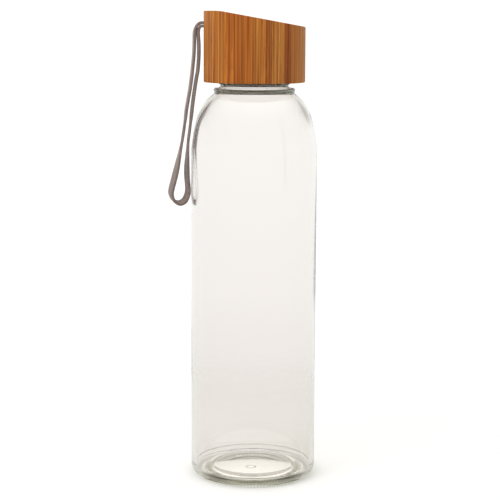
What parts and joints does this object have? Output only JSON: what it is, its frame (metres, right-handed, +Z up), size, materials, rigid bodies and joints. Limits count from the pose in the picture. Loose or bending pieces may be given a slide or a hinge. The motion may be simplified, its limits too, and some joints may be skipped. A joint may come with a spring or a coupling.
{
  "type": "glass water bottle",
  "caption": "Clear glass water bottle with a screw-on bamboo lid, slanted on top, and a flat grey strap loop through a hole in the lid's side.",
  "frame": {"origin": "centre of the bottle's foot, on the surface it stands on", "axes": "+Z up along the bottle's axis; the strap hangs on the -X side, where the lid is highest; +Y completes a right-handed frame"},
  "size_m": [0.0766, 0.065, 0.242],
  "materials": {
    "clear_glass": "clear, polished",
    "bamboo": "laminated bamboo, satin",
    "liner_plastic": "satin, dark grey",
    "silicone": "matte",
    "strap_band": "smooth, slight sheen"
  },
  "bodies": {
    "bottle": {"glass_bottle": "clear_glass"},
    "seal": {"seal_ring": "silicone"},
    "lid": {"bamboo_cap": "bamboo", "threaded_insert": "liner_plastic", "strap_knot": "strap_band", "strap_tails": "strap_band"},
    "strap": {"strap_loop": "strap_band"}
  },
  "joints": [
    {"name": "lid_rise", "type": "slide", "parent": "bottle", "child": "seal", "axis": [0, 0, 1], "range_m": [0, 0.02]},
    {"name": "lid_turn", "type": "hinge", "parent": "seal", "child": "lid", "pos_m": [0, 0, 0.206], "axis": [0, 0, 1], "range_deg": [0, 1800]},
    {"name": "strap_swing", "type": "hinge", "parent": "lid", "child": "strap", "pos_m": [-0.0288, 0, 0.2352], "axis": [0, 1, 0], "range_deg": [0, 140]}
  ],
  "couplings": [
    {"joint": "lid_turn", "follows": "lid_rise", "rad_per_m": 1570.8}
  ]
}
